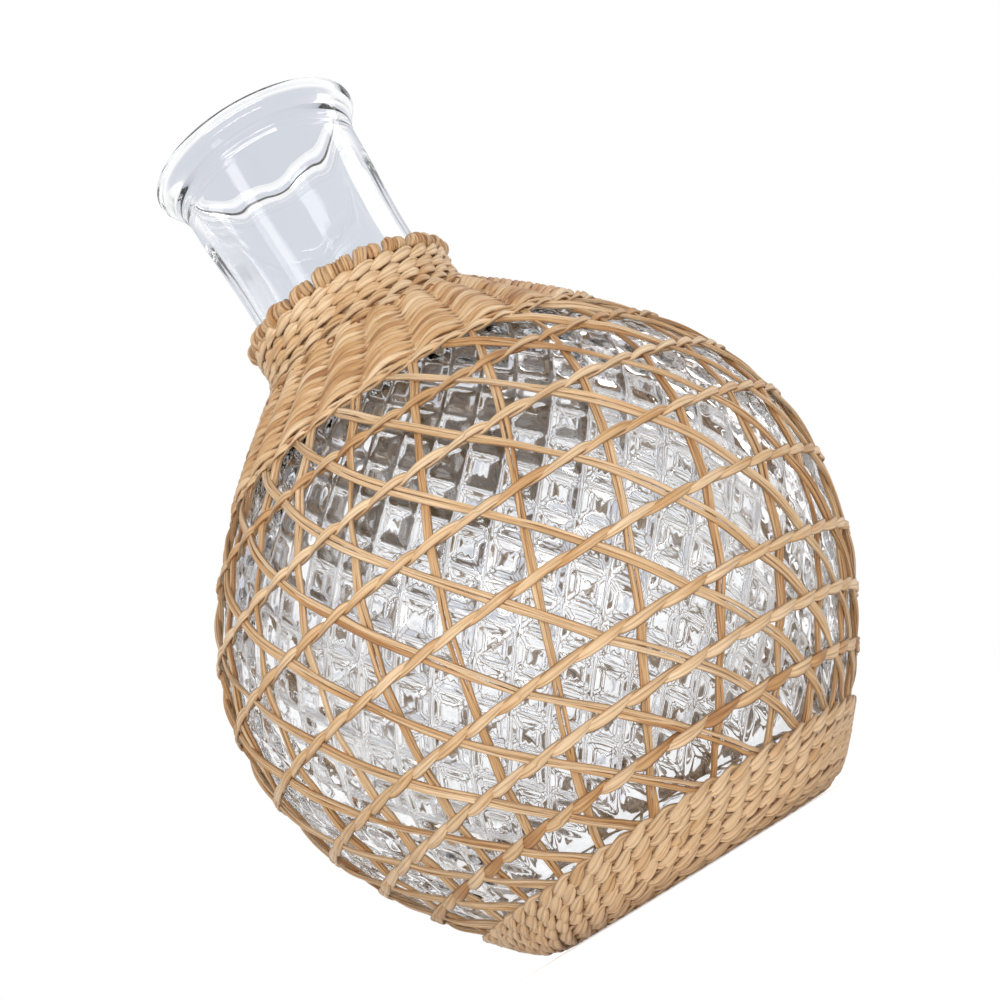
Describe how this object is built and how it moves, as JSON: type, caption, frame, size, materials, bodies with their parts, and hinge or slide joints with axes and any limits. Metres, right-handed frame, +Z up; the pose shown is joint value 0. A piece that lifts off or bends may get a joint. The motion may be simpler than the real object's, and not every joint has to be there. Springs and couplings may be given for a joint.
{
  "type": "rattan-wrapped vase",
  "caption": "Round-bellied pressed-glass flower vase with a diamond relief, held in an open hand-woven net of split rattan with a close-woven foot, shoulder and collar.",
  "frame": {"origin": "middle of the underside of the woven mat that the vase stands on", "axes": "+Z up along the bottle's axis, front faces -Y, +X to the right of the front"},
  "size_m": [0.1744, 0.1745, 0.24],
  "materials": {
    "clear_glass": "clear pressed glass, polished, with a relief of flat-topped diamonds",
    "split_rattan": "natural split rattan, satin, twisted strands"
  },
  "bodies": {
    "root": {"glass_bottle": "clear_glass", "base_mat": "split_rattan", "stake_a_01": "split_rattan", "stake_a_02": "split_rattan", "stake_a_03": "split_rattan", "stake_a_04": "split_rattan", "stake_a_05": "split_rattan", "stake_a_06": "split_rattan", "stake_a_07": "split_rattan", "stake_a_08": "split_rattan", "stake_a_09": "split_rattan", "stake_a_10": "split_rattan", "stake_a_11": "split_rattan", "stake_a_12": "split_rattan", "stake_a_13": "split_rattan", "stake_a_14": "split_rattan", "stake_a_15": "split_rattan", "stake_a_16": "split_rattan", "stake_a_17": "split_rattan", "stake_a_18": "split_rattan", "stake_a_19": "split_rattan", "stake_a_20": "split_rattan", "stake_a_21": "split_rattan", "stake_a_22": "split_rattan", "stake_a_23": "split_rattan", "stake_a_24": "split_rattan", "stake_b_01": "split_rattan", "stake_b_02": "split_rattan", "stake_b_03": "split_rattan", "stake_b_04": "split_rattan", "stake_b_05": "split_rattan", "stake_b_06": "split_rattan", "stake_b_07": "split_rattan", "stake_b_08": "split_rattan", "stake_b_09": "split_rattan", "stake_b_10": "split_rattan", "stake_b_11": "split_rattan", "stake_b_12": "split_rattan", "stake_b_13": "split_rattan", "stake_b_14": "split_rattan", "stake_b_15": "split_rattan", "stake_b_16": "split_rattan", "stake_b_17": "split_rattan", "stake_b_18": "split_rattan", "stake_b_19": "split_rattan", "stake_b_20": "split_rattan", "stake_b_21": "split_rattan", "stake_b_22": "split_rattan", "stake_b_23": "split_rattan", "stake_b_24": "split_rattan", "twined_row_1": "split_rattan", "twined_row_2": "split_rattan", "twined_row_3": "split_rattan", "twined_row_4": "split_rattan", "twined_row_5": "split_rattan", "twined_row_6": "split_rattan", "twined_row_7": "split_rattan", "base_band": "split_rattan", "shoulder_weave": "split_rattan", "collar": "split_rattan"}
  },
  "joints": []
}
